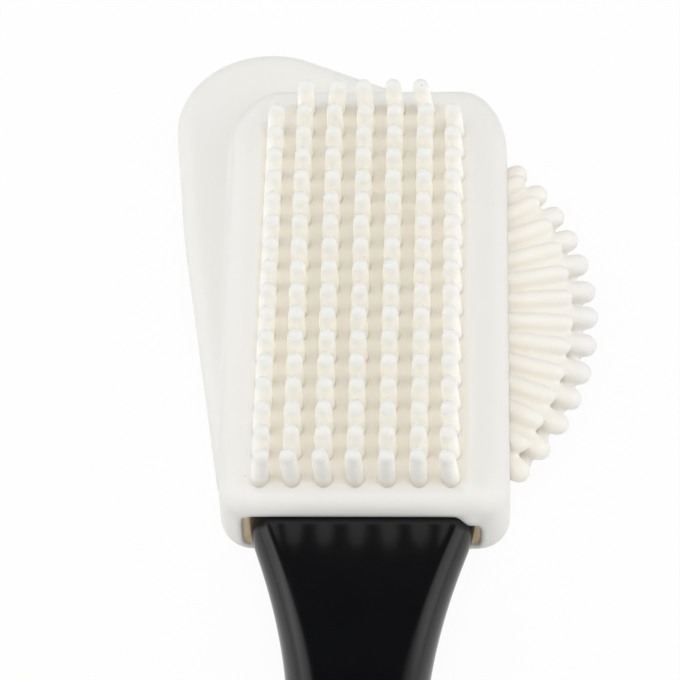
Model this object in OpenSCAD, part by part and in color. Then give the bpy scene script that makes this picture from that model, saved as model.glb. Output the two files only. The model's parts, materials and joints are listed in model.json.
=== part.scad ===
// Suede brush with a rubber head. A soft sleeve carries a pad of rubber fingers on its top face, a fan of
// fingers on its right edge and a smooth rounded lip at its far left corner. It is pulled over the flat
// tongue of a moulded handle. It lies on its back with the underside on Z = 0, the handle towards -Y and
// the fan towards +X. The origin is under the middle of the sleeve's straight sides.

/* [Sleeve] */
// Width of the sleeve across its straight sides
sleeve_w = 36.8; // [35:0.2:42]
// Y of the sleeve's closed far end
sleeve_far = 36.4; // [35.6:0.2:38]
// Y of the sleeve's open mouth
sleeve_near = -33.8; // [-36:0.2:-33.4]
// Height of the sleeve from its underside to its top face
sleeve_h = 11.4; // [11:0.2:13]
// Radius of the sleeve's rounded edges
sleeve_edge = 3; // [2:0.1:3.2]
// Size across of the two corners at the far end, in plan
far_corner_x = 6; // [5:0.5:8]
// Size along of the two corners at the far end, in plan
far_corner_y = 10.4; // [6:0.2:10.4]
// Plan radius of the two corners at the mouth
near_corner = 4.2; // [3.6:0.1:5]
// Offset of the mouth towards the fan
near_shift = 0.65; // [0:0.05:1]
// Rubber above the tongue
wall_top = 2.9; // [2.4:0.1:3.2]
// Rubber below the tongue
wall_under = 2; // [1.6:0.1:2.4]
// Rubber beside the tongue and past its tip
wall_side = 3.5; // [3.2:0.1:4]

/* [Pad] */
// Columns of fingers on the pad
pad_columns = 7; // [5:1:7]
// Rows of fingers on the pad
pad_rows = 17; // [9:1:17]
// Distance between columns
column_pitch = 4; // [3.6:0.1:4.1]
// Distance between rows
row_pitch = 3.8; // [3.4:0.1:3.8]
// Offset of the pad from the sleeve's middle
pad_shift = -0.4; // [-1:0.1:0.4]
// Offset of the pad towards the far end
pad_forward = 0.5; // [0:0.1:1]
// How far the pad's plate stands above the top face
plate_rise = 0.5; // [0.4:0.1:1]
// Length of a pad finger above its plate
finger_l = 5.6; // [4:0.1:8]
// Width of a pad finger at its root
finger_root_d = 2.3; // [1.8:0.1:2.6]
// Width of a pad finger at its tip
finger_tip_d = 2; // [1.4:0.1:2.3]
// Inward lean of the two outer columns
outer_lean = 4; // [0:0.5:6]

/* [Fan] */
// Fingers in the middle row of the fan
fan_fingers = 13; // [9:2:13]
// Angle between neighbouring fan fingers
fan_step = 6.76; // [6.4:0.02:6.8]
// Turn of the whole fan towards the far end
fan_turn = 0.66; // [0:0.02:1]
// Radius of the arc that the middle row's tips lie on
fan_r = 37.5; // [35:0.1:38]
// X of the centre that the fan fingers point away from
fan_centre_x = -8.7; // [-9.5:0.1:-8]
// Width of a middle row finger at its root
fan_root_d = 2.4; // [2.2:0.1:2.6]
// Width of a middle row finger at its tip
fan_tip_d = 3; // [2.6:0.1:3.1]
// Width of an outer row finger at its root
fan_outer_root_d = 1.5; // [1.2:0.1:1.6]
// Width of an outer row finger at its tip
fan_outer_tip_d = 2.2; // [1.6:0.1:2.2]
// Height between rows of the fan
fan_row_pitch = 1.9; // [1.9:0.1:2.2]
// How much shorter the outer rows reach in their middle
fan_outer_short = 2.9; // [2:0.1:3.4]
// How much of that they make up at their ends
fan_outer_gain = 1.2; // [0.6:0.1:1.6]

/* [Lip] */
// Radius of the lip's rounded corner
lip_r = 12.5; // [11:0.1:13]
// Thickness of the lip
lip_t = 5; // [4:0.1:6]

/* [Handle] */
// Offset of the handle from the sleeve's middle
handle_shift = 0.35; // [-0.6:0.05:0.6]
// Width of the neck at the mouth
shoulder_w = 28.6; // [24:0.2:29]
// Width of the neck at its narrowest
waist_w = 16.9; // [14:0.1:20]
// Y of the neck's narrowest place
waist_y = -64.5; // [-68:0.5:-58]
// Width of the grip at its widest
grip_w = 25; // [20:0.5:28]
// Y of the grip's widest place
grip_y = -90; // [-94:1:-84]
// Y of the handle's end
handle_end = -118; // [-130:1:-112]
// Thickness of the grip
grip_t = 12; // [10:0.5:14]
// Diameter of the hanging hole
hole_d = 6; // [4:0.5:7]

/* [Hidden] */
rubber = [0.93, 0.92, 0.89];
plastic = [0.06, 0.06, 0.07];
half_w = sleeve_w / 2;
mid_z = sleeve_h / 2;
// Pad plate and fingers
plate_sunk = 0.5;
plate_side = 1.5;
plate_end = 1;
finger_sides = 8;
dome_width = 0.78;
dome_height = 0.62;
buttress = 1.15;
// The straight sides run from the far corners to the near ones, and lean as the mouth is offset
side_far_y = sleeve_far - far_corner_y;
side_near_y = sleeve_near + near_corner;
side_slope = near_shift / (side_far_y - side_near_y);
side_mid_x = half_w + side_slope * side_far_y;
// Slice of wall behind each row of the fan
backing_x = half_w - 2.2;
backing_half_y = 25.8;
backing_t = 2.4;
fan_sunk = 1.5;
// Tongue and the room around the neck inside the mouth
tongue_h = sleeve_h - wall_top - wall_under;
tongue_z = wall_under + tongue_h / 2;
tongue_half_w = half_w - wall_side;
tongue_tip_y = sleeve_far - wall_side;
tongue_root_y = sleeve_near + 5;
tongue_corner = 4;
neck_gap = 0.1;
// Handle skin: stations along Y, each a ring of points with round sides between the two flat faces
stations = 44;
side_points = 14;
side_crease = 15;
skin_start_y = tongue_root_y + 1;
neck_power = 2;
end_power = 2.6;
end_thin = 0.62;
hole_y = handle_end + 8.5;

// Plan of the sleeve: the far corners are longer than they are wide
module sleeve_plan() {
    hull()
        for (side = [-1, 1]) {
            translate([side * (half_w - far_corner_x), side_far_y])
                scale([far_corner_x, far_corner_y]) circle(r = 1, $fn = 32);
            translate([near_shift + side * (half_w - near_corner), side_near_y])
                circle(r = near_corner, $fn = 24);
        }
}

// Outer form of the sleeve: slabs of its plan, smaller towards the top and bottom, drawn together
module sleeve_form() {
    hull()
        for (a = [0:22.5:90]) {
            rise = sleeve_edge * (1 - sin(a));
            translate([0, 0, rise])
                linear_extrude(sleeve_h - 2 * rise)
                    offset(delta = -sleeve_edge * (1 - cos(a))) sleeve_plan();
        }
}

// Section of the sleeve across its straight sides
module sleeve_section() {
    x = half_w - sleeve_edge;
    z = mid_z - sleeve_edge;
    polygon([for (quarter = [0:3], a = [0:22.5:90])
        let (turn = 90 * quarter + a, side = quarter % 3 == 0 ? 1 : -1, level = quarter < 2 ? 1 : -1)
        [side * x + sleeve_edge * cos(turn), mid_z + level * z + sleeve_edge * sin(turn)]]);
}

// Turns what stands along the Y axis so that it stands along the sleeve's leaning right side
module along_side() {
    translate([half_w, side_far_y])
        rotate([0, 0, atan(side_slope)])
            translate([-half_w, -side_far_y]) children();
}

// A flat slab with a round-cornered tip, from one place along Y to the end of the sleeve's cavity
module slab(from_y) {
    reach = tongue_tip_y - tongue_corner;
    translate([handle_shift, 0, wall_under])
        linear_extrude(tongue_h) {
            translate([-tongue_half_w, from_y])
                square([2 * tongue_half_w, reach - from_y]);
            translate([tongue_corner - tongue_half_w, reach - 1])
                square([2 * (tongue_half_w - tongue_corner), tongue_corner + 1]);
            for (side = [-1, 1])
                translate([side * (tongue_half_w - tongue_corner), reach])
                    circle(r = tongue_corner, $fn = 64);
        }
}

// Raised plate under the pad, its two far corners cut off
module pad_plate() {
    x = (pad_columns - 1) / 2 * column_pitch + plate_side;
    y = (pad_rows - 1) / 2 * row_pitch + plate_end;
    translate([pad_shift, pad_forward, sleeve_h - plate_sunk])
        linear_extrude(plate_sunk + plate_rise)
            polygon([[-x, -y], [x, -y], [x, y - row_pitch], [x - column_pitch, y],
                [column_pitch - x, y], [-x, y - row_pitch]]);
}

// A rubber finger standing on Z = 0: a tapered shaft with a domed tip, its root sunk below
module finger(length, root_r, tip_r, sunk) {
    n = finger_sides;
    dome = length - tip_r;
    rings = [[root_r, -sunk], [tip_r, dome], [tip_r * dome_width, dome + tip_r * dome_height]];
    points = [for (ring = rings, k = [0:n - 1])
        [ring[0] * cos(360 * k / n), ring[0] * sin(360 * k / n), ring[1]], [0, 0, length]];
    root = [for (k = [0:n - 1]) k];
    sides = [for (ring = [0:1], k = [0:n - 1])
        let (a = ring * n + k, b = ring * n + (k + 1) % n) each [[a, a + n, b + n], [a, b + n, b]]];
    tip = [for (k = [0:n - 1]) [2 * n + k, 3 * n, 2 * n + (k + 1) % n]];
    polyhedron(points, concat([root], sides, tip));
}

// Rows of the fan, and the slices of wall behind them, are numbered -1 lower, 0 middle, 1 upper
function slice_z(row) = mid_z + (row - 0.5) * backing_t;

// Block that marks out a row's slice of the sleeve's side wall
module fan_slice(row) {
    along_side()
        translate([backing_x, -backing_half_y, slice_z(row)])
            cube([half_w, 2 * backing_half_y, backing_t]);
}

// The slice itself, flush with the rounded side
module fan_backing(row) {
    along_side()
        rotate([90, 0, 0])
            linear_extrude(2 * backing_half_y, center = true)
                intersection() {
                    sleeve_section();
                    translate([backing_x, slice_z(row)]) square([half_w, backing_t]);
                }
}

// One row of the fan: fingers that point away from one centre, with their tips on an arc that opens out by
// gain towards its ends
module fan_row(row, count, reach, gain, root_r, tip_r) {
    middle = (count - 1) / 2;
    fan_backing(row);
    for (k = [0:count - 1]) {
        turn = fan_turn + (k - middle) * fan_step;
        start = (side_mid_x - fan_centre_x) / (cos(turn) + side_slope * sin(turn));
        tip = reach + gain * pow((k - middle) / middle, 2) + tip_r;
        translate([fan_centre_x, 0, mid_z + row * fan_row_pitch])
            rotate([0, 0, turn])
                translate([start, 0, 0])
                    rotate([0, 90, 0])
                        finger(tip - start, root_r, tip_r, fan_sunk);
    }
}

// The upper and lower rows stand between the fingers of the middle one
module fan_outer_row(row) {
    fan_row(row, fan_fingers - 1, fan_r - fan_outer_short, fan_outer_gain, fan_outer_root_d / 2,
        fan_outer_tip_d / 2);
}

// A flat disc with a fully rounded rim, about the sleeve's middle level
module lip_disc(x, y, r, rim) {
    translate([x, y, mid_z])
        rotate_extrude($fn = 32)
            polygon([[0, -rim], for (a = [-90:22.5:90]) [r - rim + rim * cos(a), rim * sin(a)], [0, rim]]);
}

// Width of the handle at a place along it, down to the widest place of the grip
function neck_ease(y) = pow((min(y, sleeve_near) - waist_y) / (sleeve_near - waist_y), neck_power);
function grip_ease(y) = (1 - cos(180 * (waist_y - max(y, grip_y)) / (waist_y - grip_y))) / 2;
function handle_w(y) =
    y > waist_y ? waist_w + (shoulder_w - waist_w) * neck_ease(y)
    : waist_w + (grip_w - waist_w) * grip_ease(y);

// Thickness of the handle, and the height of its middle
function swell(y) = let (t = (skin_start_y - y) / (skin_start_y - grip_y)) (1 - cos(180 * min(t, 1))) / 2;
function handle_t(y) = (tongue_h - 2 * neck_gap) * (1 - swell(y)) + grip_t * swell(y);
function handle_z(y) = tongue_z + (grip_t / 2 - tongue_z) * swell(y);

// Share of its width and of its thickness that the handle keeps towards its rounded end
function end_w(y) =
    y > grip_y ? 1
    : pow(1 - pow((grip_y - y) / (grip_y - handle_end), end_power), 1 / end_power);
function end_t(y) = (end_thin + (1 - end_thin) * end_w(y)) * pow(end_w(y), 0.25);

// Places of the rings: even down to the grip, closing up towards the end
function station_y(k) =
    let (t = k / (stations - 1), ease = sin(90 * t))
    skin_start_y + (handle_end + 0.02 - skin_start_y) * (0.35 * t + 0.65 * ease);
function ring(y) =
    let (r = handle_t(y) / 2 / cos(side_crease))
    [for (side = [1, -1], k = [0:side_points - 1])
        let (a = side_crease + (180 - 2 * side_crease) * k / (side_points - 1))
        [handle_shift + side * end_w(y) * (handle_w(y) / 2 - r + r * sin(a)), y,
            handle_z(y) - side * end_t(y) * r * cos(a)]];

module handle_skin() {
    n = 2 * side_points;
    points = [for (k = [0:stations - 1]) each ring(station_y(k))];
    sides = [for (k = [0:stations - 2], j = [0:n - 1])
        let (a = k * n + j, b = k * n + (j + 1) % n)
        each [[a, a + n, b + n], [a, b + n, b]]];
    near_cap = [for (j = [1:n - 2]) [0, j, j + 1]];
    last = (stations - 1) * n;
    far_cap = [for (j = [1:n - 2]) [last, last + j + 1, last + j]];
    polyhedron(points, concat(sides, near_cap, far_cap), convexity = 4);
}

// Grip, neck and tongue: one hard moulding with a hanging hole through its end
module handle() {
    color(plastic)
        difference() {
            union() {
                slab(tongue_root_y);
                handle_skin();
            }
            translate([handle_shift, hole_y, -1]) cylinder(d = hole_d, h = grip_t + 2, $fn = 64);
        }
}

module sleeve() {
    color(rubber)
        difference() {
            sleeve_form();
            slab(sleeve_near - 1);
            pad_plate();
            for (row = [-1:1]) fan_slice(row);
        }
}

// Smooth wing that runs round the far left corner and dies out along the left side and the far end
module corner_lip() {
    color(rubber)
        difference() {
            hull() {
                lip_disc(-13.7, 32.9, lip_r, lip_t / 2);
                lip_disc(1.5, 36.2, 3.2, lip_t / 2);
                lip_disc(-21.4, 14, 3, lip_t / 2);
                lip_disc(-15.6, -26.5, 2.7, lip_t / 2);
            }
            sleeve_form();
        }
}

// Pad of fingers on its plate: the far row has no fingers in the two outer columns
module pad_bristles() {
    last = pad_columns - 1;
    color(rubber) {
        pad_plate();
        for (column = [0:last], row = [0:pad_rows - 1]) {
            outer = column == 0 || column == last;
            side = column == 0 ? -1 : 1;
            if (!outer || row < pad_rows - 1)
                translate([pad_shift + (column - last / 2) * column_pitch,
                    pad_forward + (row - (pad_rows - 1) / 2) * row_pitch, sleeve_h + plate_rise])
                    rotate([0, outer ? -side * outer_lean : 0, 0])
                        finger(finger_l, finger_root_d / 2 * (outer ? buttress : 1), finger_tip_d / 2,
                            plate_sunk);
        }
    }
}

module fan_bristles_upper() {
    color(rubber) fan_outer_row(1);
}

module fan_bristles_middle() {
    color(rubber) fan_row(0, fan_fingers, fan_r, 0, fan_root_d / 2, fan_tip_d / 2);
}

module fan_bristles_lower() {
    color(rubber) fan_outer_row(-1);
}

handle();
sleeve();
corner_lip();
pad_bristles();
fan_bristles_upper();
fan_bristles_middle();
fan_bristles_lower();
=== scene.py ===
import bmesh
import bpy
import json
import math
import random
from mathutils import Matrix, Vector

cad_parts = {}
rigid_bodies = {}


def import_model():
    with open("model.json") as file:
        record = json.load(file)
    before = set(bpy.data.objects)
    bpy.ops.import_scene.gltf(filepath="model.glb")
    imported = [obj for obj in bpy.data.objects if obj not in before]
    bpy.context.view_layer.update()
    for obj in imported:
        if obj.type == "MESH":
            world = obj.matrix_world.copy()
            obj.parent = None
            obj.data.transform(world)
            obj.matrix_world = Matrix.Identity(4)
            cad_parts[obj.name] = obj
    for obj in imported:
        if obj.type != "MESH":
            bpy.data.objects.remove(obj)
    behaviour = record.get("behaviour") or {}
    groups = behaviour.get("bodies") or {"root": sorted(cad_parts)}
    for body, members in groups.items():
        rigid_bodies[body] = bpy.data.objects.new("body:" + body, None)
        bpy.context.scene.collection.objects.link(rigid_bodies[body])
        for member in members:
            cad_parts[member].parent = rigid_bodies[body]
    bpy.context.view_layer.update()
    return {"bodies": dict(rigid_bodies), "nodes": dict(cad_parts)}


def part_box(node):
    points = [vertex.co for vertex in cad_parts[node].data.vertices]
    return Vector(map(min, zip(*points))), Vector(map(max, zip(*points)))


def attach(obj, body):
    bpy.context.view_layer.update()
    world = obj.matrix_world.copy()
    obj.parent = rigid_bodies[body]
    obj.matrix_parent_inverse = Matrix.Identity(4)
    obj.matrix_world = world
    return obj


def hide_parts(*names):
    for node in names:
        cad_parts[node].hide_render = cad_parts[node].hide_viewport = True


# Suede brush: a white rubber head with a pad and a fan of fingers, pulled over a glossy black handle.
# Lengths in the dictionaries are in millimetres and angles in degrees, in the frame's own axes.

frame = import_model()
mm = 0.001
luck = random.Random(7)
print("frame loaded:", len(frame["nodes"]), "nodes")


def point(x, y, z):
    return Vector((x, y, z)) * mm


def nodeBox(node):
    low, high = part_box(node)
    return low / mm, high / mm


# Working with objects as by hand

def deselect():
    if bpy.context.mode != "OBJECT":
        bpy.ops.object.mode_set(mode="OBJECT")
    bpy.ops.object.select_all(action="DESELECT")


def only(piece):  # the one selected and active object
    deselect()
    piece.select_set(True)
    bpy.context.view_layer.objects.active = piece
    return piece


def named(name):  # settles the object that was just added: its place goes into its mesh
    piece = bpy.context.object
    piece.name = name
    piece.data.name = name
    bpy.ops.object.transform_apply(location=True, rotation=True, scale=True)
    return piece


def editing(piece):
    only(piece)
    bpy.ops.object.mode_set(mode="EDIT")
    bpy.ops.mesh.select_all(action="DESELECT")


def pick(piece, kind, test):  # selects the corners, edges or faces that pass the test
    bpy.ops.mesh.select_all(action="DESELECT")
    bpy.ops.mesh.select_mode(type=kind)
    shape = bmesh.from_edit_mesh(piece.data)
    for part in {"VERT": shape.verts, "EDGE": shape.edges, "FACE": shape.faces}[kind]:
        if test(part):
            part.select_set(True)
    bmesh.update_edit_mesh(piece.data)


def ends(edge):  # an edge's two ends in millimetres
    return edge.verts[0].co / mm, edge.verts[1].co / mm


def upright(edge):
    first, second = ends(edge)
    return abs(first.z - second.z) > 0.5


def level(edge):
    first, second = ends(edge)
    return abs(first.z - second.z) < 0.1


def lengthways(edge):
    first, second = ends(edge)
    return abs(first.y - second.y) > 0.5


def bevel(width, segments):
    bpy.ops.mesh.bevel(offset=width * mm, offset_type="OFFSET", segments=segments, affect="EDGES",
                       clamp_overlap=False)


def modify(piece, kind, **settings):  # adds a modifier and applies it
    only(piece)
    change = piece.modifiers.new(kind.title(), kind)
    for setting, value in settings.items():
        setattr(change, setting, value)
    bpy.ops.object.modifier_apply(modifier=change.name)


def combine(piece, other, operation):
    modify(piece, "BOOLEAN", operation=operation, object=other, solver="EXACT")
    bpy.data.objects.remove(other)


def addBlock(name, low, high):
    deselect()
    low, high = Vector(low), Vector(high)
    bpy.ops.mesh.primitive_cube_add(size=1, location=(low + high) / 2 * mm, scale=(high - low) * mm)
    return named(name)


def joined(name, parts):
    deselect()
    for part in parts:
        part.select_set(True)
    bpy.context.view_layer.objects.active = parts[0]
    bpy.ops.object.join()
    parts[0].name = name
    parts[0].data.name = name
    return parts[0]


def smooth(piece, angle=None):
    only(piece)
    if angle is None:
        bpy.ops.object.shade_smooth()
    else:
        bpy.ops.object.shade_smooth_by_angle(angle=math.radians(angle))


# Camera, at the photograph's angle

camera = {
    "azimuth": 4.07,
    "elevation": 51.97,
    "roll": -3.22,
    "target": (-2.9, -7.99, 12),
    "distance": 581.8,
    "lens": 239.82, "sensor": 36,
    "clip": (0.05, 20),  # metres
}


def addCamera(look):
    azimuth, elevation, roll = (math.radians(look[key]) for key in ("azimuth", "elevation", "roll"))
    ahead = Vector((-math.sin(azimuth) * math.cos(elevation), math.cos(azimuth) * math.cos(elevation),
                    -math.sin(elevation)))
    flatRight = Vector((math.cos(azimuth), math.sin(azimuth), 0))
    flatUp = flatRight.cross(ahead)
    right = flatRight * math.cos(roll) + flatUp * math.sin(roll)
    up = flatUp * math.cos(roll) - flatRight * math.sin(roll)
    data = bpy.data.cameras.new("camera")
    data.sensor_fit = "HORIZONTAL"
    data.sensor_width = look["sensor"]
    data.lens = look["lens"]
    data.clip_start, data.clip_end = look["clip"]
    made = bpy.data.objects.new("camera", data)
    bpy.context.scene.collection.objects.link(made)
    turn = Matrix((right, up, -ahead)).transposed().to_4x4()
    made.matrix_world = Matrix.Translation(point(*look["target"]) - ahead * look["distance"] * mm) @ turn
    bpy.context.scene.camera = made


addCamera(camera)
print("camera placed")


# Shader node groups and materials

def group(name, inputs, outputs):
    made = bpy.data.node_groups.new(name, "ShaderNodeTree")
    for label, kind, value in inputs:
        socket = made.interface.new_socket(name=label, in_out="INPUT", socket_type=kind)
        if value is not None:
            socket.default_value = value
    for label, kind in outputs:
        made.interface.new_socket(name=label, in_out="OUTPUT", socket_type=kind)
    return made, made.nodes.new("NodeGroupInput"), made.nodes.new("NodeGroupOutput")


def add(tree, kind, **settings):
    node = tree.nodes.new(kind)
    for setting, value in settings.items():
        setattr(node, setting, value)
    return node


def makeMouldedSkin():  # soft cloudy tone, fine grain and stray specks, as on any moulded surface
    tree, given, result = group(
        "mouldedSkin",
        [("Vector", "NodeSocketVector", None), ("Cloud Size", "NodeSocketFloat", 80.0),
         ("Grain Size", "NodeSocketFloat", 1500.0), ("Speck Size", "NodeSocketFloat", 300.0),
         ("Speck Reach", "NodeSocketFloat", 0.1)],
        [("Cloud", "NodeSocketFloat"), ("Grain", "NodeSocketFloat"), ("Speck", "NodeSocketFloat")])
    link = tree.links.new
    cloud = add(tree, "ShaderNodeTexNoise")
    cloud.inputs["Detail"].default_value = 3
    grain = add(tree, "ShaderNodeTexNoise")
    grain.inputs["Detail"].default_value = 2
    speck = add(tree, "ShaderNodeTexVoronoi", feature="F1")
    chance = add(tree, "ShaderNodeSeparateColor")
    rare = add(tree, "ShaderNodeMath", operation="GREATER_THAN")
    rare.inputs[1].default_value = 0.93  # one cell in fourteen holds a speck
    near = add(tree, "ShaderNodeMath", operation="LESS_THAN")
    both = add(tree, "ShaderNodeMath", operation="MULTIPLY")
    for texture, size in ((cloud, "Cloud Size"), (grain, "Grain Size"), (speck, "Speck Size")):
        link(given.outputs["Vector"], texture.inputs["Vector"])
        link(given.outputs[size], texture.inputs["Scale"])
    link(speck.outputs["Color"], chance.inputs["Color"])
    link(chance.outputs["Red"], rare.inputs[0])
    link(speck.outputs["Distance"], near.inputs[0])
    link(given.outputs["Speck Reach"], near.inputs[1])
    link(rare.outputs[0], both.inputs[0])
    link(near.outputs[0], both.inputs[1])
    link(cloud.outputs["Fac"], result.inputs["Cloud"])
    link(grain.outputs["Fac"], result.inputs["Grain"])
    link(both.outputs[0], result.inputs["Speck"])
    return tree


mouldedSkin = makeMouldedSkin()


def addRamp(tree, stops):  # the first and the last stop come first, then those between them
    ramp = add(tree, "ShaderNodeValToRGB")
    ramp.color_ramp.interpolation = "EASE"
    for k, (spot, colour) in enumerate(stops):
        stop = ramp.color_ramp.elements[k] if k < 2 else ramp.color_ramp.elements.new(spot)
        stop.position = spot
        stop.color = (*colour, 1)
    return ramp


def makeMaterial(name, look):
    made = bpy.data.materials.new(name)
    made.use_nodes = True
    tree = made.node_tree
    link = tree.links.new
    shader = tree.nodes["Principled BSDF"]
    place = add(tree, "ShaderNodeTexCoord")
    skin = add(tree, "ShaderNodeGroup", node_tree=mouldedSkin)
    link(place.outputs["Object"], skin.inputs["Vector"])
    for socket, key in (("Cloud Size", "cloud"), ("Grain Size", "grain"), ("Speck Size", "speck"),
                        ("Speck Reach", "reach")):
        skin.inputs[socket].default_value = look[key]
    first, last = min(look["tones"])[0], max(look["tones"])[0]

    def rampOf(stops):
        return addRamp(tree, [((spot - first) / (last - first), colour) for spot, colour in stops])

    reach = add(tree, "ShaderNodeMapRange")
    reach.inputs["From Min"].default_value = first
    reach.inputs["From Max"].default_value = last
    if look["along"] in ("X", "Y", "Z"):  # places in millimetres
        along = add(tree, "ShaderNodeSeparateXYZ")
        longer = add(tree, "ShaderNodeMath", operation="DIVIDE")
        longer.inputs[1].default_value = mm
        link(place.outputs["Object"], along.inputs[0])
        link(along.outputs[look["along"]], longer.inputs[0])
        link(longer.outputs[0], reach.inputs["Value"])
    else:
        own = add(tree, "ShaderNodeAttribute", attribute_name=look["along"])
        link(own.outputs["Fac"], reach.inputs["Value"])
    ramp = rampOf(look["tones"])
    if "glow" in look:
        glow = rampOf(look["glow"])
        link(reach.outputs["Result"], glow.inputs["Fac"])
        link(glow.outputs["Color"], shader.inputs["Emission Color"])
        shader.inputs["Emission Strength"].default_value = 1
    cloudy = add(tree, "ShaderNodeMix", data_type="RGBA", blend_type="MULTIPLY")
    cloudy.inputs["B"].default_value = (*look["shade"], 1)
    dusty = add(tree, "ShaderNodeMix", data_type="RGBA")
    dusty.inputs["B"].default_value = (*look["dust"], 1)
    link(reach.outputs["Result"], ramp.inputs["Fac"])
    link(ramp.outputs["Color"], cloudy.inputs["A"])
    link(skin.outputs["Cloud"], cloudy.inputs["Factor"])
    link(cloudy.outputs["Result"], dusty.inputs["A"])
    link(skin.outputs["Speck"], dusty.inputs["Factor"])
    link(dusty.outputs["Result"], shader.inputs["Base Color"])
    gloss = add(tree, "ShaderNodeMapRange")
    gloss.inputs["To Min"].default_value = look["roughness"][0]
    gloss.inputs["To Max"].default_value = look["roughness"][1]
    link(skin.outputs["Cloud"], gloss.inputs["Value"])
    link(gloss.outputs["Result"], shader.inputs["Roughness"])
    bump = add(tree, "ShaderNodeBump")
    strength, depth = look["bump"]
    bump.inputs["Strength"].default_value = strength
    bump.inputs["Distance"].default_value = depth * mm
    link(skin.outputs["Grain"], bump.inputs["Height"])
    link(bump.outputs["Normal"], shader.inputs["Normal"])
    for socket, value in look["shader"].items():
        shader.inputs[socket].default_value = value
    return made


rubberLook = {
    "shade": (0.99, 0.985, 0.975),  # where the cloud is thickest, as a share of the tone
    "dust": (0.7, 0.66, 0.58),
    "cloud": 60, "grain": 1800, "speck": 420, "reach": 0.06,
    "roughness": (0.46, 0.58),
    "bump": (0.2, 0.02),  # strength and depth
    "shader": {"Subsurface Weight": 0.6, "Subsurface Radius": (1, 1, 1), "Subsurface Scale": 1 * mm,
               "Specular IOR Level": 0.35},
}
# Tones and glow name a place along the piece and its colour: the first and the last place come first, then
# those between them. Where the tones change along a piece they paint light and shade into the colour, and the
# glow stands in for light that comes through the rubber.
# the head's own colour at 0; inside the mouth (1) it is painted warm and glows, for light that comes through
# the rubber walls; on the pad's plate (0.5) it is painted darker and warmer, for the shade between the
# fingers
headLook = {**rubberLook, "along": "paintedLightAndShade",
            "tones": [(0, (0.895, 0.885, 0.855)), (1, (0.97, 0.86, 0.71)), (0.5, (0.87, 0.83, 0.75))],
            "glow": [(0, (0, 0, 0)), (1, (0.18, 0.135, 0.08)), (0.5, (0, 0, 0))],
            "shader": {**rubberLook["shader"], "Subsurface Scale": 0.5 * mm}}
# the pad is painted darker and warmer at the roots, for the shade in the valleys between the fingers, and
# darker and cooler at the tips, which tones down the light that falls on them; its glow paints light coming
# through the shafts
padLook = {**rubberLook, "along": "Z",
           "tones": [(11.8, (0.88, 0.845, 0.77)), (17.5, (0.85, 0.85, 0.825)), (13.2, (0.95, 0.93, 0.88)),
                     (15.7, (0.95, 0.94, 0.9))],
           "glow": [(11.8, (0.005, 0.004, 0.003)), (17.5, (0, 0, 0)), (13, (0.065, 0.059, 0.047)),
                    (15, (0.11, 0.102, 0.085)), (16.4, (0.045, 0.043, 0.037))]}
# the fan is painted darker and warmer at the root, for the shade where the fingers crowd together, warm along
# the middle, for light bounced between them, and darker and cooler at the tips, which tones down the light
# that falls on them
fanLook = {**rubberLook, "along": "X",
           "tones": [(17.5, (0.89, 0.84, 0.77)), (31, (0.89, 0.88, 0.86)), (22, (0.955, 0.915, 0.845))]}
plasticLook = {  # one tone from end to end
    "along": "Y", "tones": [(-118, (0.003, 0.0032, 0.004)), (36, (0.003, 0.0032, 0.004))],
    "shade": (1.5, 1.5, 1.4),
    "dust": (0.05, 0.05, 0.05),
    "cloud": 90, "grain": 700, "speck": 500, "reach": 0.05,
    "roughness": (0.17, 0.23),
    "bump": (0.06, 0.02),
    "shader": {"Specular IOR Level": 0.38},
}
headRubber = makeMaterial("headRubber", headLook)
padRubber = makeMaterial("padRubber", padLook)
fanRubber = makeMaterial("fanRubber", fanLook)
plastic = makeMaterial("glossBlackPlastic", plasticLook)
print("materials made")


# Head: the sleeve, the lip and the pad's plate are one soft moulding

head = {
    "farCorner": (6, 10.4), "farSteps": 12,  # across and along
    "nearCorner": 4.2, "nearSteps": 10,
    "nearShift": 0.65,  # the mouth lies this much further towards the fan
    "edge": 3, "edgeSteps": 6,
    # x, y, radius and points of each disc that the lip is spanned over
    "lip": [(-13.7, 32.9, 12.5, 96), (1.5, 36.2, 3.2, 32), (-21.4, 14, 3, 32), (-15.6, -26.5, 2.7, 32)],
    "lipRim": 2.4, "lipSteps": 8,
    "lipFlat": 0.5,  # neighbouring edges that turn less than this become one
    "wallTop": 2.9, "wallUnder": 2,
    "mouth": (-14.75, 15.25), "mouthDepth": 1.8,  # a wider rim in front of the tongue's room
    "mouthAhead": 2, "roomAhead": 1,  # how far the cutting blocks stand out of the sleeve
    "room": (-13.9, 14.6), "roomEnd": 32.9,
    "mouthCorner": (1.2, 2.8), "mouthSteps": (4, 6),  # the upper right corner is the rounder one
    "bulge": (14.2, -33, 7.9), "bulgeSize": (1.7, 1.1, 1.3),  # a fold of rubber in that corner
    "bulgeSteps": (24, 12),
    # the pad's plate, and how far its near and far edges lie towards the fan
    "plate": (-13.9, -31, 13.1, 31.9), "plateRise": 0.5, "plateCorner": 3.6, "plateShift": (0.5, -0.35),
    "plateSunk": 1,
    "voxel": 0.4,
    "softening": 5,
    # inside the mouth the rubber is painted warm and glowing, for light that comes through its walls: up to a
    # height and a depth, and margins across and below
    "paintedLightTop": 9, "paintedLightFar": -20, "paintedLightMargin": (0.6, 0.3),
    "paintedLightStart": 0.3, "paintedLightReach": 0.8,  # how far behind the rim it starts, and over what depth it grows
}


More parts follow.
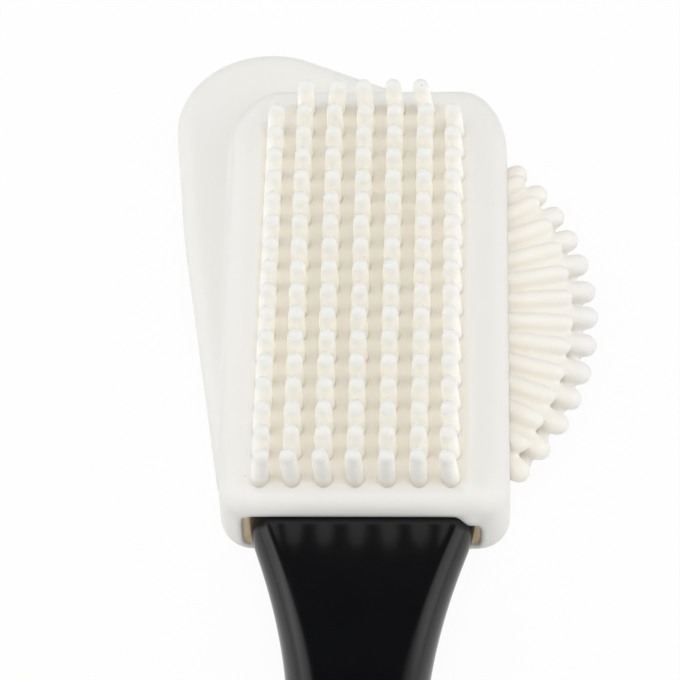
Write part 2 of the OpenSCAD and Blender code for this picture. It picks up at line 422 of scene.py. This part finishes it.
def makeSleeve(look):
    low, high = nodeBox("sleeve")
    sleeve = addBlock("rubberHead", low, (high.x - look["nearShift"], high.y, high.z))
    across, along = look["farCorner"]
    editing(sleeve)
    pick(sleeve, "EDGE", lambda e: upright(e) and ends(e)[0].y > 0)
    bevel(across, look["farSteps"])
    pick(sleeve, "VERT", lambda v: v.co.y / mm > high.y - across - 0.1)
    bpy.ops.transform.resize(value=(1, along / across, 1), center_override=(0, high.y * mm, 0))
    pick(sleeve, "EDGE", lambda e: upright(e) and ends(e)[0].y < 0)
    bpy.ops.transform.translate(value=point(look["nearShift"], 0, 0))
    bevel(look["nearCorner"], look["nearSteps"])
    pick(sleeve, "EDGE", level)
    bevel(look["edge"], look["edgeSteps"])
    deselect()
    return sleeve


def makeLip(look):
    low, high = nodeBox("corner_lip")
    discs = []
    for x, y, radius, points in look["lip"]:
        deselect()
        bpy.ops.mesh.primitive_cylinder_add(vertices=points, radius=radius * mm, depth=(high.z - low.z) * mm,
                                            location=point(x, y, (low.z + high.z) / 2))
        discs.append(named("disc"))
    lip = joined("lip", discs)
    editing(lip)
    bpy.ops.mesh.select_all(action="SELECT")
    bpy.ops.mesh.convex_hull()
    bpy.ops.mesh.select_all(action="SELECT")
    bpy.ops.mesh.dissolve_limited(angle_limit=math.radians(look["lipFlat"]))
    pick(lip, "EDGE", level)
    bevel(look["lipRim"], look["lipSteps"])
    deselect()
    return lip


def roomHeights(look):  # the bottom and the top of the room inside the sleeve
    low, high = nodeBox("sleeve")
    return low.z + look["wallUnder"], high.z - look["wallTop"]


def makeMouth(look):
    low, high = nodeBox("sleeve")
    bottom, top = roomHeights(look)
    left, right = look["mouth"]
    mouth = addBlock("mouth", (left, low.y - look["mouthAhead"], bottom),
                     (right, low.y + look["mouthDepth"], top))

    def upperRight(edge):
        return ends(edge)[0].x > 0 and ends(edge)[0].z > high.z / 2

    (small, large), (fewSteps, manySteps) = look["mouthCorner"], look["mouthSteps"]
    editing(mouth)
    pick(mouth, "EDGE", lambda e: lengthways(e) and upperRight(e))
    bevel(large, manySteps)
    pick(mouth, "EDGE", lambda e: lengthways(e) and not upperRight(e))
    bevel(small, fewSteps)
    deselect()
    left, right = look["room"]
    room = addBlock("room", (left, low.y - look["roomAhead"], bottom), (right, look["roomEnd"], top))
    combine(mouth, room, "UNION")
    return mouth


def makeBulge(look):
    deselect()
    around, upwards = look["bulgeSteps"]
    bpy.ops.mesh.primitive_uv_sphere_add(segments=around, ring_count=upwards, radius=mm,
                                         location=point(*look["bulge"]), scale=look["bulgeSize"])
    return named("bulge")


def makePlate(look):
    top = nodeBox("sleeve")[1].z
    left, near, right, far = look["plate"]
    plate = addBlock("plate", (left, near, top - look["plateSunk"]), (right, far, top + look["plateRise"]))
    editing(plate)
    for end, shift in zip((-1, 1), look["plateShift"]):
        pick(plate, "VERT", lambda v: v.co.y * end > 0)
        bpy.ops.transform.translate(value=point(shift, 0, 0))
    pick(plate, "EDGE", lambda e: upright(e) and ends(e)[0].y > 0)
    bevel(look["plateCorner"], 1)
    deselect()
    return plate


def addPaintedLightAndShade(body, look):  # painted light and shade: 1 inside the mouth, where warm light through the rubber is painted, and 0.5 on the pad's plate, where the shade between the fingers is painted
    low, high = nodeBox("sleeve")
    left, right = look["mouth"]
    aside, below = look["paintedLightMargin"]
    paintedLightAndShade = body.data.attributes.new("paintedLightAndShade", "FLOAT", "POINT")
    for corner, own in zip(body.data.vertices, paintedLightAndShade.data):
        x, y, z = corner.co / mm
        if (left - aside < x < right + aside and look["wallUnder"] - below < z < look["paintedLightTop"]
                and y < look["paintedLightFar"]):
            own.value = min(max((y - low.y - look["paintedLightStart"]) / look["paintedLightReach"], 0), 1)
        else:
            own.value = min(max((z - high.z) / look["plateRise"], 0), 1) / 2


def makeHead(look):
    body = makeSleeve(look)
    combine(body, makePlate(look), "UNION")
    combine(body, makeLip(look), "UNION")
    combine(body, makeMouth(look), "DIFFERENCE")
    combine(body, makeBulge(look), "UNION")
    modify(body, "REMESH", mode="VOXEL", voxel_size=look["voxel"] * mm)
    modify(body, "SMOOTH", factor=0.5, iterations=look["softening"])
    addPaintedLightAndShade(body, look)
    smooth(body)
    return body


rubberHead = makeHead(head)
print("head made:", len(rubberHead.data.polygons), "faces")


# Fingers

def makeFinger(name, profile, sides):  # profile: radius and height of each ring, from the root up
    deselect()
    radius, height = profile[0]
    bpy.ops.mesh.primitive_circle_add(vertices=sides, radius=radius * mm, location=point(0, 0, height))
    finger = named(name)
    editing(finger)
    bpy.ops.mesh.select_all(action="SELECT")
    bpy.ops.mesh.edge_face_add()
    for nextRadius, nextHeight in profile[1:]:
        bpy.ops.mesh.extrude_region_move(
            TRANSFORM_OT_translate={"value": (0, 0, (nextHeight - height) * mm)})
        shrink = nextRadius / radius
        bpy.ops.transform.resize(value=(shrink, shrink, 1), center_override=(0, 0, nextHeight * mm))
        radius, height = nextRadius, nextHeight
    bpy.ops.mesh.poke()
    bpy.ops.mesh.select_all(action="SELECT")
    bpy.ops.mesh.normals_make_consistent(inside=False)
    deselect()
    return finger


domeRings = (0, 28, 54, 76)  # the latitudes of the rings on a round tip


def domed(shaft, radius, top):  # adds a round tip to a shaft's profile
    rings = [(radius * math.cos(math.radians(a)), top - radius + radius * math.sin(math.radians(a)))
             for a in domeRings]
    return shaft + rings


def placed(master, place):
    copy = master.copy()
    copy.data = master.data.copy()
    copy.data.transform(place)
    bpy.context.scene.collection.objects.link(copy)
    return copy


pad = {
    "columns": 7, "rows": 17,
    "columnPitch": 4, "rowPitch": 3.8,
    "middle": -0.4, "forward": 0.5,
    "length": 5.6,
    "foot": [(1.3, -0.3), (1.22, 0.08), (1.17, 0.5), (1.14, 1.2), (1.12, 2.8)],  # radius and height
    "tip": 1.04,
    "sides": 14,
    # leans towards the fan: of the outer columns, and added along the near row and the far one
    "leftLean": 4, "rightLean": -4,
    "nearLean": (1, -4.5, -3.5, -2.5, 0, -1, -1),
    "farLean": (0, 1, 5, -2.5, -5, -8, 0),
    "farBack": 5,  # the far row also leans away from the mouth
    "wander": 0.6,
    "spin": 6,  # radians
    "smoothUnder": 60,
}


def makePad(look):
    top = nodeBox("sleeve")[1].z
    master = makeFinger("finger", domed(look["foot"], look["tip"], look["length"]), look["sides"])
    fingers = []
    lastColumn, lastRow = look["columns"] - 1, look["rows"] - 1
    for column in range(look["columns"]):
        for row in range(look["rows"]):
            if column in (0, lastColumn) and row == lastRow:
                continue
            lean = look["leftLean"] if column == 0 else look["rightLean"] if column == lastColumn else 0
            lean += look["nearLean"][column] if row == 0 else look["farLean"][column] if row == lastRow else 0
            back = look["farBack"] if row == lastRow else 0
            x = look["middle"] + (column - lastColumn / 2) * look["columnPitch"]
            y = look["forward"] + (row - lastRow / 2) * look["rowPitch"]
            place = (Matrix.Translation(point(x, y, top + head["plateRise"]))
                     @ Matrix.Rotation(math.radians(lean + luck.uniform(-1, 1) * look["wander"]), 4, "Y")
                     @ Matrix.Rotation(math.radians(luck.uniform(-1, 1) * look["wander"] - back), 4, "X")
                     @ Matrix.Rotation(luck.uniform(0, look["spin"]), 4, "Z"))
            fingers.append(placed(master, place))
    bpy.data.objects.remove(master)
    made = joined("padFingers", fingers)
    smooth(made, look["smoothUnder"])
    return made


padFingers = makePad(pad)
print("pad made:", len(padFingers.data.polygons), "faces")


fan = {
    "centreX": -8.7,  # the fingers spread from here
    "step": 6.76, "turn": 0.66,
    "sides": 14,
    "sunk": 3,
    "straight": 0.45,  # this share of a finger keeps its root's radius
    "taper": 0.7, "tapered": 0.6,  # and here it has come this far to its tip's radius
    "wander": 0.25,
    "voxel": 0.3, "softening": 5,
    # level from the middle, fingers, arc of the tips and its gain at the ends, root and tip radius
    "rows": {
        "fan_bristles_upper": (1.9, 12, (34.65, 1.2), 1.2, 1.2),
        "fan_bristles_middle": (0, 13, (37.55, 0), 1.6, 1.56),
        "fan_bristles_lower": (-1.9, 12, (36.1, 0), 1.4, 1.4),
    },
}


def makeFanRow(name, look):  # the outer rows stand between the fingers of the middle one
    height, count, (reach, gain), root, tip = look["rows"][name]
    low, high = nodeBox("sleeve")
    middle = (count - 1) / 2
    fingers = []
    for k in range(count):
        turn = math.radians(look["turn"] + (k - middle) * look["step"])
        start = (high.x - head["nearShift"] / 2 - look["centreX"]) / math.cos(turn) - look["sunk"]
        length = reach + gain * ((k - middle) / middle) ** 2 + tip - start
        shaft = [(root, 0), (root, length * look["straight"]),
                 (root * (1 - look["tapered"]) + tip * look["tapered"], length * look["taper"])]
        finger = makeFinger("finger", domed(shaft, tip, length), look["sides"])
        place = (Matrix.Translation(point(look["centreX"], 0, (low.z + high.z) / 2 + height))
                 @ Matrix.Rotation(turn + math.radians(luck.uniform(-1, 1) * look["wander"]), 4, "Z")
                 @ Matrix.Translation(point(start, 0, 0))
                 @ Matrix.Rotation(math.pi / 2 + math.radians(luck.uniform(-1, 1) * look["wander"]), 4, "Y"))
        finger.data.transform(place)
        fingers.append(finger)
    return joined("row", fingers)


def makeFan(look):
    made = joined("fanFingers", [makeFanRow(name, look) for name in look["rows"]])
    modify(made, "REMESH", mode="VOXEL", voxel_size=look["voxel"] * mm)
    modify(made, "SMOOTH", factor=0.5, iterations=look["softening"])
    smooth(made)
    return made


fanFingers = makeFan(fan)
print("fan made:", len(fanFingers.data.polygons), "faces")


# Handle: a loft of rings from the shoulders to the rounded end, on the tongue inside the head

handle = {
    "shift": 0.35,
    "shoulder": 14.3, "waist": 8.45, "grip": 12.5,  # half widths
    "start": -27.8, "waistY": -64.5, "gripY": -90, "end": -118,
    "flare": 1.85,  # above 1 the sides curve out towards the shoulders
    "neckTop": 8.4, "neckBottom": 2.1,
    "gripTop": 12, "gripBottom": 0,
    "crease": 15,  # the round sides meet the flat faces at this slope
    "sidePoints": 13,
    "flatPoints": 5,  # across half of a flat face
    "rings": 26,
    "endRings": 9, "endTurn": 86,
    "endPower": 2.6, "endThin": 0.62, "endRound": 0.25,
    "smoothUnder": 40,
    "tongueOverlap": 1, "tongueCorner": 4, "tongueSteps": 8,
    "holeY": -109.5, "holeSides": 48,
    # radius and height of each ring of the tool that cuts the hanging hole, with a soft rim at both faces
    "hole": [(4.4, -0.5), (3.5, 0.55), (3.15, 0.95), (3, 1.5),
             (3, 10.5), (3.15, 11.05), (3.5, 11.45), (4.4, 12.5)],
}


def handleHalfWidth(look, y):
    if y > look["waistY"]:
        mouth = nodeBox("sleeve")[0].y
        rise = (min(y, mouth) - look["waistY"]) / (mouth - look["waistY"])
        return look["waist"] + (look["shoulder"] - look["waist"]) * rise ** look["flare"]
    ease = (1 - math.cos(math.pi * (look["waistY"] - y) / (look["waistY"] - look["gripY"]))) / 2
    return look["waist"] + (look["grip"] - look["waist"]) * ease


def handleRing(look, y, shape):  # one ring of points; shape is 1 along the handle and falls to 0 at its end
    swell = (1 - math.cos(math.pi * min((look["start"] - y) / (look["start"] - look["gripY"]), 1))) / 2
    top = look["neckTop"] + (look["gripTop"] - look["neckTop"]) * swell
    bottom = look["neckBottom"] + (look["gripBottom"] - look["neckBottom"]) * swell
    crease = math.radians(look["crease"])
    radius = (top - bottom) / 2 / math.cos(crease)
    inner = handleHalfWidth(look, max(y, look["gripY"])) - radius
    side = []
    for k in range(look["sidePoints"]):
        a = crease + (math.pi - 2 * crease) * k / (look["sidePoints"] - 1)
        side.append((inner + radius * math.sin(a), radius * math.cos(a)))
    edge, height = side[0]
    flat = [(edge * k / look["flatPoints"], height) for k in range(look["flatPoints"])]
    right = flat + side + [(x, -z) for x, z in reversed(flat)]
    left = [(-x, z) for x, z in reversed(right[1:-1])]
    thin = (look["endThin"] + (1 - look["endThin"]) * shape) * shape ** look["endRound"]
    return [point(look["shift"] + x * shape, y, (top + bottom) / 2 + z * thin) for x, z in right + left]


def makeHandle(look):
    stations = []
    for k in range(look["rings"]):
        stations.append((look["start"] + (look["gripY"] - look["start"]) * k / (look["rings"] - 1), 1))
    for k in range(1, look["endRings"] + 1):
        a = math.radians(look["endTurn"] * k / look["endRings"])
        reach, shape = math.sin(a) ** (2 / look["endPower"]), math.cos(a) ** (2 / look["endPower"])
        stations.append((look["gripY"] - (look["gripY"] - look["end"]) * reach, shape))
    rings = [handleRing(look, y, shape) for y, shape in stations]
    count = len(rings[0])
    deselect()
    bpy.ops.mesh.primitive_cylinder_add(vertices=count, radius=1, depth=1, end_fill_type="NGON")
    made = named("blackHandle")
    editing(made)
    pick(made, "EDGE", upright)
    bpy.ops.mesh.subdivide(number_cuts=len(rings) - 2)
    bpy.ops.object.mode_set(mode="OBJECT")
    for corner in made.data.vertices:  # each corner of the cylinder goes to its place on the handle
        ring = round((0.5 - corner.co.z) * (len(rings) - 1))
        angle = math.atan2(corner.co.x, corner.co.y) % (2 * math.pi)
        corner.co = rings[ring][round(angle / (2 * math.pi) * count) % count]
    editing(made)
    bpy.ops.mesh.select_all(action="SELECT")
    bpy.ops.mesh.normals_make_consistent(inside=False)
    deselect()
    modify(made, "SUBSURF", levels=2, render_levels=2)
    return made


def makeTongue(look):
    left, right = head["room"]
    bottom, top = roomHeights(head)
    tongue = addBlock("tongue", (left, look["start"] - look["tongueOverlap"], bottom),
                      (right, head["roomEnd"], top))
    editing(tongue)
    pick(tongue, "EDGE", lambda e: upright(e) and ends(e)[0].y > 0)
    bevel(look["tongueCorner"], look["tongueSteps"])
    deselect()
    return tongue


def makeHoleTool(look):
    tool = makeFinger("holeTool", look["hole"], look["holeSides"])
    tool.data.transform(Matrix.Translation(point(look["shift"], look["holeY"], 0)))
    return tool


blackHandle = makeHandle(handle)
combine(blackHandle, makeTongue(handle), "UNION")
combine(blackHandle, makeHoleTool(handle), "DIFFERENCE")
smooth(blackHandle, handle["smoothUnder"])
print("handle made:", len(blackHandle.data.polygons), "faces")


# Finishes, bodies and the nodes that each piece stands for

body = next(iter(frame["bodies"]))


def finishPiece(piece, material, slotName, *nodes):
    piece.data.materials.clear()
    piece.data.materials.append(material)
    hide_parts(*nodes)
    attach(piece, body)


finishPiece(rubberHead, headRubber, "rubber", "sleeve", "corner_lip")
finishPiece(padFingers, padRubber, "rubber", "pad_bristles")
finishPiece(fanFingers, fanRubber, "rubber", *fan["rows"])
finishPiece(blackHandle, plastic, "plastic", "handle")
print("pieces finished")


# Floor, lamps and world

studio = {
    "floorSize": 6, "floorTone": 0.9,
    "floorShadow": 0.06,  # how much of the floor's real shading the camera sees
    # a tent of white cloth, a little darker towards the front
    "tent": 0.76, "tentFront": 0.62, "tentFade": (-0.8, 0),
    # its dark opening, which the handle's flat mirrors: direction, and cosines where it starts and is darkest
    "opening": 0.02, "openingPlace": (0, 0.614, 0.789), "openingEdge": (0.45, 0.92),
    "lamps": {  # watts, width and height in metres, place in metres
        "topLamp": (5.6, (1, 0.9), (0, 0, 1.2)),
        "leftLamp": (2.6, (1.3, 1), (-1, 0, 0.6)),
        "rightLamp": (3.4, (1.3, 1), (1, 0, 0.6)),
        "backLeftLamp": (1.4, (0.8, 0.6), (-0.83, 0.77, 0.6)),
        "backRightLamp": (0.3, (0.8, 0.6), (0.83, 0.77, 0.6)),
    },
}


def cameraSees(tree):  # 1 where the camera or a mirror image looks straight at the surface
    path = add(tree, "ShaderNodeLightPath")
    seen = path.outputs["Is Camera Ray"]
    for ray in ("Is Glossy Ray", "Is Transmission Ray"):
        most = add(tree, "ShaderNodeMath", operation="MAXIMUM")
        tree.links.new(seen, most.inputs[0])
        tree.links.new(path.outputs[ray], most.inputs[1])
        seen = most.outputs[0]
    return seen


def addFloor(look):
    deselect()
    bpy.ops.mesh.primitive_plane_add(size=look["floorSize"])
    floor = named("floor")
    made = bpy.data.materials.new("paleFloor")
    made.use_nodes = True
    tree = made.node_tree
    tree.nodes.remove(tree.nodes["Principled BSDF"])
    lit = add(tree, "ShaderNodeBsdfDiffuse")
    lit.inputs["Color"].default_value = (*[look["floorTone"]] * 3, 1)
    white = add(tree, "ShaderNodeEmission")
    share = add(tree, "ShaderNodeMath", operation="MULTIPLY")
    share.inputs[1].default_value = 1 - look["floorShadow"]
    mix = add(tree, "ShaderNodeMixShader")
    tree.links.new(cameraSees(tree), share.inputs[0])
    tree.links.new(share.outputs[0], mix.inputs["Fac"])
    tree.links.new(lit.outputs[0], mix.inputs[1])
    tree.links.new(white.outputs[0], mix.inputs[2])
    tree.links.new(mix.outputs[0], tree.nodes["Material Output"].inputs["Surface"])
    floor.data.materials.append(made)


def addLamps(look):
    for name, (watts, (width, height), place) in look["lamps"].items():
        data = bpy.data.lights.new(name, "AREA")
        data.shape = "RECTANGLE"
        data.energy = watts
        data.size = width
        data.size_y = height
        made = bpy.data.objects.new(name, data)
        made.location = place
        made.rotation_euler = (-Vector(place)).to_track_quat("-Z", "Y").to_euler()
        bpy.context.scene.collection.objects.link(made)


def makeWorld(look):
    world = bpy.data.worlds.new("studio")
    bpy.context.scene.world = world
    world.use_nodes = True
    tree = world.node_tree
    link = tree.links.new
    sky = tree.nodes["Background"]
    place = add(tree, "ShaderNodeTexCoord")
    near = add(tree, "ShaderNodeVectorMath", operation="DOT_PRODUCT")
    near.inputs[1].default_value = look["openingPlace"]
    fall = add(tree, "ShaderNodeMapRange", interpolation_type="SMOOTHSTEP")
    fall.inputs["From Min"].default_value, fall.inputs["From Max"].default_value = look["openingEdge"]
    fall.inputs["To Max"].default_value = look["opening"]
    side = add(tree, "ShaderNodeSeparateXYZ")
    cloth = add(tree, "ShaderNodeMapRange")
    cloth.inputs["From Min"].default_value, cloth.inputs["From Max"].default_value = look["tentFade"]
    cloth.inputs["To Min"].default_value = look["tentFront"]
    cloth.inputs["To Max"].default_value = look["tent"]
    white = add(tree, "ShaderNodeBackground")
    path = add(tree, "ShaderNodeLightPath")
    mix = add(tree, "ShaderNodeMixShader")
    link(place.outputs["Generated"], near.inputs[0])
    link(near.outputs["Value"], fall.inputs["Value"])
    link(place.outputs["Generated"], side.inputs[0])
    link(side.outputs["Y"], cloth.inputs["Value"])
    link(cloth.outputs["Result"], fall.inputs["To Min"])
    link(fall.outputs["Result"], sky.inputs["Color"])
    link(path.outputs["Is Camera Ray"], mix.inputs["Fac"])
    link(sky.outputs[0], mix.inputs[1])
    link(white.outputs[0], mix.inputs[2])
    white.inputs["Color"].default_value = (1, 1, 1, 1)
    link(mix.outputs[0], tree.nodes["World Output"].inputs["Surface"])


addFloor(studio)
addLamps(studio)
makeWorld(studio)
bpy.context.scene.view_settings.view_transform = "Standard"
print("studio made")
